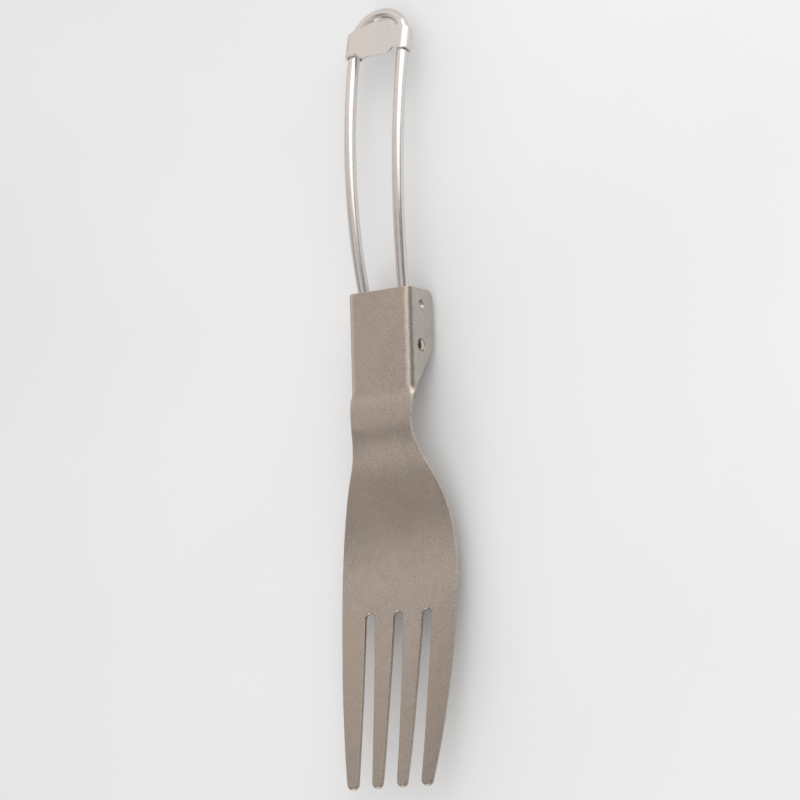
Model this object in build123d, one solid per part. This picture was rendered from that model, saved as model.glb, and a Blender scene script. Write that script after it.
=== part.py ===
from build123d import *
import math
import os

# Folding camping fork: a pressed sheet fork head with a channel-shaped neck, one bent wire
# loop as the handle, hinged in the channel's flanges, and a sheet slide lock round the loop's
# two legs.  Units are millimetres.
#
# Frame: +X runs from the handle towards the tine tips, +Y across the fork, +Z up on the food
# side.  The origin lies on the flat top of the channel, on the centreline, straight above the
# hinge axis.

# ---------------------------------------------------------------- shared dimensions
SHEET = 0.90            # fork head sheet thickness
WIRE_R = 1.25           # handle wire radius
CH_HALF_W = 7.80        # half of the outside width across the channel's flanges
X_BACK = -12.00         # back edge of the channel
PIVOT_Z = -4.20         # hinge axis height, at x = 0

# ---------------------------------------------------------------- channel
CH_BEND_R = 1.45                    # outside bend radius between web and flange
CH_INNER_R = CH_BEND_R - SHEET
CH_INNER_HALF_W = CH_HALF_W - SHEET
CH_FRONT = 11.30                    # where the flanges have run out into the flat neck
CH_SECTION_Z = -11.0                # lower end of the untrimmed flanges
FLANGE_Z_BACK = -9.00               # lower edge of the flanges at the back
FLANGE_Z_FRONT = -8.55              # lower edge of the flanges under the hinge
FLANGE_X_FRONT = 0.30               # where the lower edge turns up into the slanted front edge
FLANGE_Z_END = -0.30                # height of the slanted front edge where it runs out
FLANGE_R_BACK = 1.90
FLANGE_R_FRONT = 4.50

# hinge holes and detent dimples in the flanges
PIN_CLEAR = 0.08        # radial running clearance of the wire end in its hole
HOLE_R = WIRE_R + PIN_CLEAR
HOLE_CHAMFER = 0.30
DIMPLE_X = -8.56
DIMPLE_Z = -4.60
DIMPLE_R = 1.10         # radius of the raised bump inside the flange
DIMPLE_H = 0.50         # height of the bump inside the flange
DIMPLE_CUP_R = 0.95     # radius of the pressed cup outside the flange
DIMPLE_CUP_D = 0.45
DIMPLE_OVERLAP = 0.10   # how far the bump is carried into the flange

# ---------------------------------------------------------------- blade
# side profile of the sheet, food side: (x, z)
PROFILE = [
    (8.0, 0.0), (10.0, 0.02), (13.0, 0.26), (16.0, 0.50), (18.0, 0.34), (20.0, -0.20),
    (22.0, -0.97), (25.0, -2.17), (28.0, -3.17), (32.0, -4.20), (36.0, -4.82),
    (40.0, -5.09), (44.0, -5.09), (48.0, -4.87), (52.0, -4.52), (60.0, -3.63),
    (68.0, -2.60), (76.0, -1.46), (84.0, -0.22), (91.8, 1.13),
]
PROFILE_TANGENTS = [(1, 0, 0), (1, 0, 0.175)]
PROFILE_STEPS = 44      # steps along the profile for the offset underside
FLAT_X = 7.0            # back end of the flat sheet that overlaps the channel
TIP_X = 91.70           # tine tips

# plan outline, right half: (x, half width)
OUTLINE = [
    (11.3, 7.72), (13.0, 7.66), (15.0, 7.51), (17.0, 7.42), (19.0, 7.48), (21.0, 7.90),
    (23.0, 8.53), (25.0, 9.40), (28.0, 10.80), (32.0, 12.22), (36.0, 13.16),
    (40.0, 13.79), (44.0, 14.12), (48.0, 14.25), (52.0, 14.20), (56.0, 14.06),
    (60.0, 13.87), (64.0, 13.63), (68.0, 13.36), (72.0, 13.00), (76.0, 12.57),
    (80.0, 12.09), (84.0, 11.56), (88.0, 10.92), (91.8, 10.25),
]
NECK_START_X = 9.90
NECK_START_W = CH_HALF_W - CH_BEND_R - 0.05
NECK_BACK_X = 6.0       # back end of the plan, inside the channel
PLAN_END_X = TIP_X + 1.5            # front end of the plan before the tines are cut to length
PLAN_END_W = OUTLINE[-1][1] - 0.25
PLAN_HALF_Z = 12.0      # half height of the prism that trims the sheet in plan

# slots between the tines: (x, centre line y, half width)
SLOT_MID = [
    (56.2, 0.0, 1.20), (60.0, 0.0, 1.24), (66.0, 0.0, 1.34), (73.0, 0.0, 1.50),
    (82.0, 0.0, 1.66), (88.0, 0.0, 1.74), (93.0, 0.0, 1.90),
]
SLOT_OUT = [
    (56.2, 7.08, 1.20), (60.0, 6.97, 1.24), (66.0, 6.80, 1.34), (73.0, 6.60, 1.44),
    (82.0, 6.36, 1.58), (88.0, 6.14, 1.70), (93.0, 5.96, 1.85),
]
SLOT_TOP_X = 55.0       # closed end of the slots
SLOT_TOP_SHIFT = 0.02   # sideways offset of the closed end from the first centre point
TIP_ROUND = 1.12        # corner rounding of the tine tips in plan

# ---------------------------------------------------------------- wire handle
LEG_HALF = 4.90         # half spacing of the legs inside the channel
PIN_BEND_R = 2.00       # centreline radius of the bend from leg to hinge pin
PIN_PROUD = 0.25        # how far the wire end stands out of the flange
PIN_CHAMFER = 0.25
PIN_END_Y = CH_HALF_W + PIN_PROUD
WEB_GAP = 0.02          # gap between the open leg and the underside of the web
LEG_STRAIGHT = 14.80    # straight length of the leg from the hinge axis
ARCH_R = 130.0          # radius of the handle's arch, seen from the side
# flare of the legs: (distance along the leg from the hinge axis, half spacing)
LEG_FLARE = [
    (8.5, LEG_HALF), (10.5, 4.915), (12.2, 4.97), (14.8, 5.10), (19.0, 5.33), (26.2, 5.63),
    (34.0, 5.87), (42.2, 6.03), (50.0, 6.14), (58.2, 6.19), (62.2, 6.165), (65.2, 6.05),
]
FLARE_START = LEG_FLARE[0][0]
LOOP_START = 68.00      # distance along the leg where the end of the loop starts to turn
LOOP_HALF_W = 5.84      # half spacing of the wires there
LOOP_LEN = 4.97         # from there to the apex of the loop
LOOP_TURN_IN = math.radians(5.0)    # inward angle of the wires where the shoulder bend starts
LOOP_SHOULDER_TO = math.radians(50.0)   # angle where the shoulder bend meets the apex bend

# ---------------------------------------------------------------- slide lock
# in its own frame: X towards the loop end, Y across, Z up out of the legs
LOCK_DISTANCE = 66.37   # distance of the lock's middle from the hinge axis, along the leg
LOCK_SHEET = 0.55       # sheet thickness
LOCK_HALF_W = 8.05
LOCK_TOP_Z = WIRE_R + 0.05 + LOCK_SHEET
LOCK_BOTTOM_Z = -(WIRE_R + 0.10 + LOCK_SHEET)
LOCK_BEND_R = LOCK_TOP_Z            # the strip is rolled round the wire
LOCK_FLAP_Y = 4.60      # inner end of the flaps folded under the wires
LOCK_SPLIT_Z = 0.30     # the top plan trims above this height, the side and flap shapes below

# top plate, +Y half, from the round tongue to the straight edge towards the hinge: (x, y)
LOCK_TONGUE_X = 4.15
LOCK_TOP_SIDE = [
    (2.35, 5.20), (3.10, 5.75), (2.60, 6.25), (2.00, 7.75), (1.74, 8.03), (1.70, 9.5),
    (-3.00, 9.5), (-3.00, 5.45), (-2.55, 4.75), (-3.35, 4.10),
]
# rounded corner of the straight edge, start, middle and end: (x, y)
LOCK_TOP_CORNER = [(-3.35, 4.10), (-3.82, 3.72), (-4.00, 3.10)]
# side walls, seen from the side: (x, z)
LOCK_SIDE = [
    (1.74, LOCK_SPLIT_Z), (1.50, -0.80), (1.45, -4), (-2.95, -4), (-3.00, LOCK_SPLIT_Z),
]
# flaps, +Y half, tapering towards their inner ends: (x, y)
LOCK_FLAP = [
    (-2.20, 4.4), (-2.90, 5.40), (-3.20, 7.60), (-4.0, 12), (4.0, 12), (1.65, 7.60), (0.90, 4.4),
]


# ---------------------------------------------------------------- drawing helpers
def lines(points):
    """Straight edges joining the points in order."""
    return [Line(start, end) for start, end in zip(points, points[1:])]


def polygon(points):
    return Face(Wire(lines(points + points[:1])))


def xz(points):
    return [(x, 0, z) for x, z in points]


def mirrored(points):
    """(x, y) points mirrored to the other side of the centreline."""
    return [(x, -y) for x, y in points]


def prism_y(face, half):
    return extrude(face, amount=half, dir=(0, 1, 0), both=True)


def prism_z(face, bottom, height):
    """Prism of a face drawn at z = 0."""
    return extrude(Pos(0, 0, bottom) * face, amount=height, dir=(0, 0, 1))


def round_corner(start, corner, end):
    """Quarter circle from start to end, tangent to both sides of a square corner."""
    middle = corner + (start - corner + end - corner) * (1 - math.sqrt(0.5))
    return ThreePointArc(start, middle, end)


def rounded_polygon(x, corners):
    """Square-cornered face in a plane across X; corners are (y, z, radius), 0 for sharp."""
    points = [Vector(x, y, z) for y, z, _ in corners]
    radii = [radius for _, _, radius in corners]
    before = points[-1:] + points[:-1]
    after = points[1:] + points[:1]
    starts = [p + (q - p).normalized() * r for p, q, r in zip(points, before, radii)]
    ends = [p + (q - p).normalized() * r for p, q, r in zip(points, after, radii)]
    edges = []
    for i, radius in enumerate(radii):
        edges.append(Line(ends[i - 1], starts[i]))
        if radius:
            edges.append(round_corner(starts[i], points[i], ends[i]))
    return Face(Wire(edges))


# ---------------------------------------------------------------- fork head
def curved_sheet():
    """The sheet as a prism of its side profile, wider than the fork."""
    top = Spline(*xz(PROFILE), tangents=PROFILE_TANGENTS)
    underside = []
    for i in range(PROFILE_STEPS + 1):
        point = top @ (i / PROFILE_STEPS)
        tangent = top % (i / PROFILE_STEPS)
        underside.append(point + Vector(tangent.Z, 0, -tangent.X) * SHEET)
    bottom = Spline(*underside, tangents=[top % 0.0, top % 1.0])
    flat_end_x = PROFILE[0][0]
    return prism_y(Face(Wire([
        Line((FLAT_X, 0, 0), (flat_end_x, 0, 0)),
        top,
        Line(top @ 1.0, bottom @ 1.0),
        bottom,
        Line((FLAT_X, 0, -SHEET), (flat_end_x, 0, -SHEET)),
        Line((FLAT_X, 0, 0), (FLAT_X, 0, -SHEET)),
    ])), 18)


def slot_prism(stations, side):
    """Slot with a rounded closed end; side is the sign of its y."""
    right_points = [(x, side * centre + half) for x, centre, half in stations]
    left_points = [(x, side * centre - half) for x, centre, half in stations]
    right = Spline(*right_points)
    left = Spline(*left_points)
    nose = Spline(left_points[0],
                  (SLOT_TOP_X, side * (stations[0][1] + SLOT_TOP_SHIFT)),
                  right_points[0],
                  tangents=[-(left % 0.0), (0, 1, 0), right % 0.0])
    face = Face(Wire([right, Line(right_points[-1], left_points[-1]), left, nose]))
    return prism_z(face, -PLAN_HALF_Z - 1, 2 * PLAN_HALF_Z + 2)


def plan_prism():
    """Prism of the blade's plan, with slots and rounded tine tips."""
    left_outline = mirrored(OUTLINE)
    front = [(PLAN_END_X, PLAN_END_W), (PLAN_END_X, -PLAN_END_W)]
    neck = [
        (NECK_START_X, -NECK_START_W), (NECK_BACK_X, -NECK_START_W),
        (NECK_BACK_X, NECK_START_W), (NECK_START_X, NECK_START_W),
    ]
    plan = Face(Wire([
        Spline(*OUTLINE),
        *lines([OUTLINE[-1], *front, left_outline[-1]]),
        Spline(*left_outline),
        *lines([left_outline[0], *neck, OUTLINE[0]]),
    ]))
    body = prism_z(plan, -PLAN_HALF_Z, 2 * PLAN_HALF_Z)
    for stations, side in ((SLOT_MID, 1), (SLOT_OUT, 1), (SLOT_OUT, -1)):
        body = body - slot_prism(stations, side)

    # cut the tines to length and round their upright corner edges
    keep_x = 5.0
    body = body & Pos((TIP_X + keep_x) / 2, 0, 0) * Box(TIP_X - keep_x, 40, 40)
    tip_edges = [edge for edge in body.edges()
                 if abs(edge.center().X - TIP_X) < 0.01
                 and edge.bounding_box().size.Y < 0.01
                 and edge.bounding_box().size.Z > 1.0]
    return fillet(tip_edges, TIP_ROUND)


def make_channel():
    """Bent U section, trimmed to the flanges' side shape."""
    section = rounded_polygon(X_BACK, [
        (-CH_HALF_W, CH_SECTION_Z, 0),
        (-CH_HALF_W, 0, CH_BEND_R),
        (CH_HALF_W, 0, CH_BEND_R),
        (CH_HALF_W, CH_SECTION_Z, 0),
        (CH_INNER_HALF_W, CH_SECTION_Z, 0),
        (CH_INNER_HALF_W, -SHEET, CH_INNER_R),
        (-CH_INNER_HALF_W, -SHEET, CH_INNER_R),
        (-CH_INNER_HALF_W, CH_SECTION_Z, 0),
    ])
    channel = extrude(section, amount=CH_FRONT - X_BACK, dir=(1, 0, 0))

    side = prism_y(polygon(xz([
        (X_BACK, 1), (CH_FRONT, 1), (CH_FRONT, FLANGE_Z_END),
        (FLANGE_X_FRONT, FLANGE_Z_FRONT), (X_BACK, FLANGE_Z_BACK),
    ])), 12)
    back_corner = side.edges().filter_by(Axis.Y).sort_by(Axis.Z)[0]
    side = fillet(back_corner, FLANGE_R_BACK)
    front_corner = [edge for edge in side.edges().filter_by(Axis.Y)
                    if abs(edge.center().X - FLANGE_X_FRONT) < 0.05
                    and abs(edge.center().Z - FLANGE_Z_FRONT) < 0.05]
    side = fillet(front_corner, FLANGE_R_FRONT)
    return channel & side


def cap_sphere_radius(base_radius, height):
    """Radius of the sphere whose cap has this base radius and height."""
    return (base_radius ** 2 + height ** 2) / (2 * height)


def make_fork_head():
    blade = curved_sheet() & plan_prism()
    head = make_channel() + blade

    # hinge holes, chamfered at the outside
    head = head - Pos(0, 0, PIVOT_Z) * Rot(90, 0, 0) * Cylinder(HOLE_R, 30)
    for side in (1, -1):
        mouth_y = side * (CH_HALF_W - HOLE_CHAMFER / 2 + 0.001)
        mouth = (Pos(0, mouth_y, PIVOT_Z) * Rot(-90 * side, 0, 0)
                 * Cone(HOLE_R, HOLE_R + HOLE_CHAMFER, HOLE_CHAMFER))
        head = head - mouth

    # detent dimples pressed inwards behind the hinge holes
    bump_r = cap_sphere_radius(DIMPLE_R, DIMPLE_H)
    cup_r = cap_sphere_radius(DIMPLE_CUP_R, DIMPLE_CUP_D)
    keep_depth = 2.0
    bump_y = CH_INNER_HALF_W - DIMPLE_H + bump_r
    keep_y = CH_INNER_HALF_W - keep_depth / 2 + DIMPLE_OVERLAP
    cup_y = CH_HALF_W + cup_r - DIMPLE_CUP_D
    for side in (1, -1):
        bump = Pos(DIMPLE_X, side * bump_y, DIMPLE_Z) * Sphere(bump_r)
        keep = Pos(DIMPLE_X, side * keep_y, DIMPLE_Z) * Box(4, keep_depth, 4)
        cup = Pos(DIMPLE_X, side * cup_y, DIMPLE_Z) * Sphere(cup_r)
        head = head + (bump & keep)
        head = head - cup
    return head


# ---------------------------------------------------------------- side view of the open handle
# the leg's centreline rises so that the wire just clears the web at the channel's back edge
RISE = math.atan2(-(SHEET + WEB_GAP + WIRE_R) - PIVOT_Z, -X_BACK)
LEG_DIR = Vector(-math.cos(RISE), 0, math.sin(RISE))      # away from the hinge
LEG_DOWN = Vector(-math.sin(RISE), 0, -math.cos(RISE))    # square to the leg
PIVOT = Vector(0, 0, PIVOT_Z)
ARCH_CENTRE = PIVOT + LEG_DIR * LEG_STRAIGHT + LEG_DOWN * ARCH_R


def arch_directions(distance):
    """Unit vectors along the arch and outwards from its centre."""
    angle = (distance - LEG_STRAIGHT) / ARCH_R
    along = LEG_DOWN * math.sin(angle) + LEG_DIR * math.cos(angle)
    outwards = LEG_DIR * math.sin(angle) - LEG_DOWN * math.cos(angle)
    return along, outwards


def on_leg(distance, y):
    """Point at a distance from the hinge axis along the leg's centreline."""
    if distance <= LEG_STRAIGHT:
        point = PIVOT + LEG_DIR * distance
    else:
        point = ARCH_CENTRE + arch_directions(distance)[1] * ARCH_R
    return point + Vector(0, y, 0)


# The end of the loop is bent in one plane: a shoulder bend on either side of the apex bend.
# The two radii must add up to the loop's length and its half width:
#   shoulder_length * shoulder_r + apex_length * apex_r = LOOP_LEN
#   shoulder_width * shoulder_r + apex_width * apex_r = LOOP_HALF_W
LOOP_DIR = arch_directions(LOOP_START)[0]
shoulder_length = math.sin(LOOP_SHOULDER_TO) - math.sin(LOOP_TURN_IN)
shoulder_width = math.cos(LOOP_TURN_IN) - math.cos(LOOP_SHOULDER_TO)
apex_length = 1 - math.sin(LOOP_SHOULDER_TO)
apex_width = math.cos(LOOP_SHOULDER_TO)
SHOULDER_R = ((LOOP_LEN * apex_width - apex_length * LOOP_HALF_W)
              / (shoulder_length * apex_width - apex_length * shoulder_width))


def on_loop(distance, y):
    """Point of the loop's flat end, at a distance beyond its start."""
    return on_leg(LOOP_START, y) + LOOP_DIR * distance


def on_shoulder(angle, side):
    """Point of the shoulder bend where the wire has turned in by the angle."""
    distance = SHOULDER_R * (math.sin(angle) - math.sin(LOOP_TURN_IN))
    y = LOOP_HALF_W - SHOULDER_R * (math.cos(LOOP_TURN_IN) - math.cos(angle))
    return on_loop(distance, side * y)


# ---------------------------------------------------------------- wire handle
def wire_disc(origin, direction):
    return Plane(origin=origin, z_dir=direction) * Circle(WIRE_R)


def wire_along(path):
    return sweep(wire_disc(path @ 0, path % 0), path=Wire([path]))


def leg_pieces(side):
    """Pieces of one leg, from the loop's shoulder to the hinge pin."""
    shoulder = wire_along(ThreePointArc(
        on_loop(0, side * LOOP_HALF_W),
        on_shoulder((LOOP_TURN_IN + LOOP_SHOULDER_TO) / 2, side),
        on_shoulder(LOOP_SHOULDER_TO, side)))

    flare_end_dir = (LOOP_DIR * math.cos(LOOP_TURN_IN)
                     + Vector(0, -side * math.sin(LOOP_TURN_IN), 0))
    flare_points = [on_leg(distance, side * half) for distance, half in LEG_FLARE]
    flare = wire_along(Spline(*flare_points, on_loop(0, side * LOOP_HALF_W),
                              tangents=[LEG_DIR, flare_end_dir]))

    pin_start = Vector(0, side * (LEG_HALF + PIN_BEND_R), PIVOT_Z)
    leg_start = on_leg(PIN_BEND_R, side * LEG_HALF)
    straight = extrude(wire_disc(leg_start, LEG_DIR), amount=FLARE_START - PIN_BEND_R)
    bend_path = round_corner(pin_start, on_leg(0, side * LEG_HALF), leg_start)
    bend = sweep(wire_disc(pin_start, (0, -side, 0)), path=Wire([bend_path]))
    pin = extrude(wire_disc(pin_start, (0, side, 0)),
                  amount=PIN_END_Y - (LEG_HALF + PIN_BEND_R))
    return shoulder, flare, straight, bend, pin


def make_wire_handle():
    handle = wire_along(ThreePointArc(on_shoulder(LOOP_SHOULDER_TO, -1), on_loop(LOOP_LEN, 0),
                                      on_shoulder(LOOP_SHOULDER_TO, 1)))
    for side in (-1, 1):
        for piece in leg_pieces(side):
            handle = handle + piece
    pin_end_edges = [edge for edge in handle.edges().filter_by(GeomType.CIRCLE)
                     if abs(abs(edge.center().Y) - PIN_END_Y) < 0.02]
    return chamfer(pin_end_edges, PIN_CHAMFER)


# ---------------------------------------------------------------- slide lock
def lock_tube(inset, half_length):
    """Solid rounded bar along X, inset from the lock's outside."""
    half_w = LOCK_HALF_W - inset
    top = LOCK_TOP_Z - inset
    bottom = LOCK_BOTTOM_Z + inset
    radius = LOCK_BEND_R - inset
    section = rounded_polygon(-half_length, [
        (-half_w, top, radius), (half_w, top, radius),
        (half_w, bottom, radius), (-half_w, bottom, radius),
    ])
    return extrude(section, amount=2 * half_length, dir=(1, 0, 0))


def lock_top_plan():
    left_side = mirrored(LOCK_TOP_SIDE)
    left_corner = mirrored(LOCK_TOP_CORNER)
    return Face(Wire([
        ThreePointArc(LOCK_TOP_SIDE[0], (LOCK_TONGUE_X, 0), left_side[0]),
        *lines(left_side),
        ThreePointArc(*left_corner),
        Line(left_corner[-1], LOCK_TOP_CORNER[-1]),
        ThreePointArc(*LOCK_TOP_CORNER[::-1]),
        *lines(LOCK_TOP_SIDE[::-1]),
    ]))


def make_slide_lock():
    shell = lock_tube(0, 6) - lock_tube(LOCK_SHEET, 7)
    # open the underside between the flaps
    shell = shell - Pos(0, 0, LOCK_BOTTOM_Z) * Box(20, 2 * LOCK_FLAP_Y, 2.0)

    top_keep = prism_z(lock_top_plan(), LOCK_SPLIT_Z, 5)
    side_keep = prism_y(polygon(xz(LOCK_SIDE)), 12)
    flap_keep = prism_z(polygon(LOCK_FLAP + mirrored(LOCK_FLAP)[::-1]), -6, 12)
    lock = (shell & top_keep) + (shell & side_keep & flap_keep)

    # move it to its place at the loop end of the arch
    along, outwards = arch_directions(LOCK_DISTANCE)
    return Plane(origin=on_leg(LOCK_DISTANCE, 0), x_dir=along, z_dir=outwards) * lock


# ---------------------------------------------------------------- export
os.makedirs("parts", exist_ok=True)
for name, part in (
    ("fork_head", make_fork_head()),
    ("wire_handle", make_wire_handle()),
    ("slide_lock", make_slide_lock()),
):
    part.label = name
    export_step(part, f"parts/{name}.step")
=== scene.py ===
import math

import bpy
import numpy as np
from mathutils import Matrix, Vector
from mathutils.geometry import delaunay_2d_cdt


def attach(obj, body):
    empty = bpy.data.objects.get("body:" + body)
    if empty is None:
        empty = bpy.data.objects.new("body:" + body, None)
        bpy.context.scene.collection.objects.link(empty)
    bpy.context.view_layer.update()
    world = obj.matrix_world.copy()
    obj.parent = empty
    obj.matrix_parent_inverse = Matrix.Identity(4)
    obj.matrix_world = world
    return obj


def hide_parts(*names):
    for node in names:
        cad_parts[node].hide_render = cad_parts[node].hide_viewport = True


# Folding camping fork: a bent sheet head, a wire handle hinged in its flanges and a strip lock
# that slides on the handle. +X points to the tine tips, +Y across, +Z up; the hinge axis lies
# at x = 0 and the handle runs towards -X. Shapes are worked out in millimetres and written to
# the meshes in metres.

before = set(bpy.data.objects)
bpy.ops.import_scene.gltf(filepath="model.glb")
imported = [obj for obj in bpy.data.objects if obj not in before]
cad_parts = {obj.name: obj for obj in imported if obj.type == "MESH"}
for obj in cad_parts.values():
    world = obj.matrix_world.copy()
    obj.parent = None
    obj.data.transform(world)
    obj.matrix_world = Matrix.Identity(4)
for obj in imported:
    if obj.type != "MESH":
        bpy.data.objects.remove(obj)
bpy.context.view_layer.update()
MM = 0.001

# ------------------------------------------------------------------ head dimensions
SHEET = 0.90
HEAD_HALF_W = 7.80                # half the width over the flanges
HEAD_BEND_R = 1.45
X_BACK = -12.0
PIVOT_Z = -4.20
HOLE_R = 1.33
FOLD_FADE = (9.1, 3.0)            # where the flange fold starts to open out, and over what length

DIMPLE_X, DIMPLE_Z = -8.56, -4.60
CUP_R, CUP_DEPTH, CUP_POWER = 1.08, 0.60, 1.35          # outer face of a dimple
BUMP_R, BUMP_DEPTH, BUMP_POWER = 1.20, 0.50, 1.2        # inner face
LIP_R, LIP_WIDTH, LIP_HEIGHT = 1.22, 0.16, 0.035        # raised ring round the cup

# side profile of the outer face: x, z
PROFILE = [(8.0, 0.0), (10.0, 0.02), (13.0, 0.26), (16.0, 0.50), (18.0, 0.34), (20.0, -0.20),
           (22.0, -0.97), (25.0, -2.17), (28.0, -3.17), (32.0, -4.20), (36.0, -4.82),
           (40.0, -5.09), (44.0, -5.09), (48.0, -4.87), (52.0, -4.52), (60.0, -3.63),
           (68.0, -2.60), (76.0, -1.46), (84.0, -0.22), (91.8, 1.13)]
PROFILE_END_SLOPE = 0.175
# plan outline: x, half width
OUTLINE = [(11.3, 7.72), (13.0, 7.66), (15.0, 7.51), (17.0, 7.42), (19.0, 7.48), (21.0, 7.90),
           (23.0, 8.53), (25.0, 9.40), (28.0, 10.80), (32.0, 12.22), (36.0, 13.16),
           (40.0, 13.79), (44.0, 14.12), (48.0, 14.25), (52.0, 14.20), (56.0, 14.06),
           (60.0, 13.87), (64.0, 13.63), (68.0, 13.36), (72.0, 13.00), (76.0, 12.57),
           (80.0, 12.09), (84.0, 11.56), (88.0, 10.92), (91.8, 10.25)]
OUTLINE_TRIM = 0.002
# middle slot: x, half width
SLOT_MID = [(56.2, 1.20), (60.0, 1.24), (66.0, 1.34), (73.0, 1.50), (82.0, 1.66),
            (88.0, 1.74), (93.0, 1.90)]
# side slots: x, y of the middle, half width
SLOT_OUT = [(56.2, 7.08, 1.20), (60.0, 6.97, 1.24), (66.0, 6.80, 1.34), (73.0, 6.60, 1.44),
            (82.0, 6.36, 1.58), (88.0, 6.14, 1.70), (93.0, 5.96, 1.85)]
TIP_X = 91.57
TIP_ROUND = 1.12
TIP_STRAIGHT = 3.0                # length of the straight edges that run into each tip

# ------------------------------------------------------------------ handle dimensions
WIRE_R = 1.25
WEB_GAP = 0.02                    # between the wire and the web at the back of the head
LEG_HALF = 4.90
PIN_BEND_R = 2.00
PIN_PROUD = 0.15                  # how far the pins stand out of the flanges
LEG_STRAIGHT = 14.80
ARCH_R = 130.0                    # side view radius of the legs beyond the straight
# spread of the legs: distance from the hinge, half spacing
LEG_FLARE = [(8.5, 4.90), (10.5, 4.915), (12.2, 4.97), (14.8, 5.10), (19.0, 5.33), (26.2, 5.63),
             (34.0, 5.87), (42.2, 6.03), (50.0, 6.14), (58.2, 6.19), (62.2, 6.165),
             (65.2, 6.05)]
LOOP_START = 68.0                 # distance from the hinge
LOOP_HALF_W = 5.84
LOOP_LEN = 4.96
LOOP_TURN_IN = math.radians(5.0)  # heading of the legs where the loop starts
SHOULDER_TO = math.radians(50.0)  # heading where the shoulder arc meets the apex arc
WIRE_SIDES = 40
WIRE_DOME = 0.20                  # the cropped wire ends are slightly domed
WIRE_END_R = 0.34                 # rounding of their rims

# ------------------------------------------------------------------ lock dimensions
LOCK_SHEET = 0.55
LOCK_AT = 66.37                   # distance from the hinge
LOCK_HALF_W = 8.05
LOCK_TOP = WIRE_R + 0.05 + LOCK_SHEET          # outer faces above and below the wire centre
LOCK_BOTTOM = -(WIRE_R + 0.10 + LOCK_SHEET)
LOCK_BEND_R = 1.85
FLAP_END_Y = 4.60
TONGUE_TIP, TONGUE_SHOULDER, TONGUE_HALF_W = 4.15, 2.35, 5.20

# ------------------------------------------------------------------ curve helpers


def unit(v):
    return v / np.linalg.norm(v, axis=-1, keepdims=True)


def smooth01(t):
    t = np.clip(t, 0, 1)
    return t * t * (3 - 2 * t)


class Cubic:
    """Cubic spline y(x) through points, with end slopes given or left free."""

    def __init__(self, points, slope0=None, slope1=None):
        self.x, self.y = np.array(points, float).T
        n = len(self.x)
        h = np.diff(self.x)
        d = np.diff(self.y) / h
        a = np.zeros((n, n))
        b = np.zeros(n)
        for i in range(1, n - 1):
            a[i, i - 1:i + 2] = h[i], 2 * (h[i - 1] + h[i]), h[i - 1]
            b[i] = 3 * (d[i - 1] * h[i] + d[i] * h[i - 1])
        if slope0 is None:
            a[0, 0], a[0, 1], b[0] = 2, 1, 3 * d[0]
        else:
            a[0, 0], b[0] = 1, slope0
        if slope1 is None:
            a[-1, -1], a[-1, -2], b[-1] = 2, 1, 3 * d[-1]
        else:
            a[-1, -1], b[-1] = 1, slope1
        self.slope = np.linalg.solve(a, b)

    def __call__(self, at):
        at = np.asarray(at, float)
        i = np.clip(np.searchsorted(self.x, at) - 1, 0, len(self.x) - 2)
        h = self.x[i + 1] - self.x[i]
        t = (at - self.x[i]) / h
        return ((2 * t**3 - 3 * t**2 + 1) * self.y[i]
                + (t**3 - 2 * t**2 + t) * h * self.slope[i]
                + (-2 * t**3 + 3 * t**2) * self.y[i + 1]
                + (t**3 - t**2) * h * self.slope[i + 1])


def fillet(corners, arc_step):
    """Closed polygon from (x, y, radius) corners, each rounded to its radius."""
    points = [np.array(c[:2], float) for c in corners]
    out = []
    for i, (_, _, r) in enumerate(corners):
        corner = points[i]
        if r <= 0:
            out.append(corner)
            continue
        d0 = unit(points[i - 1] - corner)
        d1 = unit(points[(i + 1) % len(points)] - corner)
        half = math.acos(float(np.clip(d0 @ d1, -1, 1))) / 2
        cut = r / math.tan(half)
        centre = corner + unit(d0 + d1) * (r / math.sin(half))
        from_centre = [corner + d * cut - centre for d in (d0, d1)]
        a0, a1 = [math.atan2(v[1], v[0]) for v in from_centre]
        turn = (a1 - a0 + math.pi) % (2 * math.pi) - math.pi
        steps = max(3, int(abs(turn) * r / arc_step))
        for j in range(steps + 1):
            a = a0 + turn * j / steps
            out.append(centre + r * np.array([math.cos(a), math.sin(a)]))
    return np.array(out)


def subdivide(loop, step):
    """Closed loop with no segment longer than step, near-doubles removed."""
    out = []
    for a, b in zip(loop, np.roll(loop, -1, 0)):
        length = np.linalg.norm(b - a)
        if length < 0.03:
            continue
        pieces = max(1, int(math.ceil(length / step)))
        out += [a + (b - a) * j / pieces for j in range(pieces)]
    return np.array(out)


def mirrored_loop(corners, arc_step, step):
    """Anticlockwise loop from the +Y half of an outline, which starts and ends on the
    centreline, and its mirror image."""
    mirror = [(x, -y, r) for x, y, r in corners[1:-1]][::-1]
    loop = subdivide(fillet(corners + mirror, arc_step), step)
    x, y = loop.T
    area = 0.5 * np.sum(x * np.roll(y, -1) - np.roll(x, -1) * y)
    return loop if area > 0 else loop[::-1].copy()


def inward_normals(loop):
    """Unit normals to the left of a closed loop, and how much longer each mitre is. The left is
    the material when the outline runs anticlockwise and the holes run clockwise."""
    after = unit(np.roll(loop, -1, 0) - loop)
    before = unit(loop - np.roll(loop, 1, 0))
    t = unit(after + before)
    cosine = np.clip((t * after).sum(1), 0.7, 1)
    return np.stack([-t[:, 1], t[:, 0]], 1), 1 / cosine


def inside(loop, points):
    """Which points lie inside a closed loop."""
    x, y = points[:, 0], points[:, 1]
    result = np.zeros(len(points), bool)
    for (x0, y0), (x1, y1) in zip(loop, np.roll(loop, -1, 0)):
        if y0 == y1:
            continue
        crosses = (y0 > y) != (y1 > y)
        result ^= crosses & (x < x0 + (y - y0) * (x1 - x0) / (y1 - y0))
    return result


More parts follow.
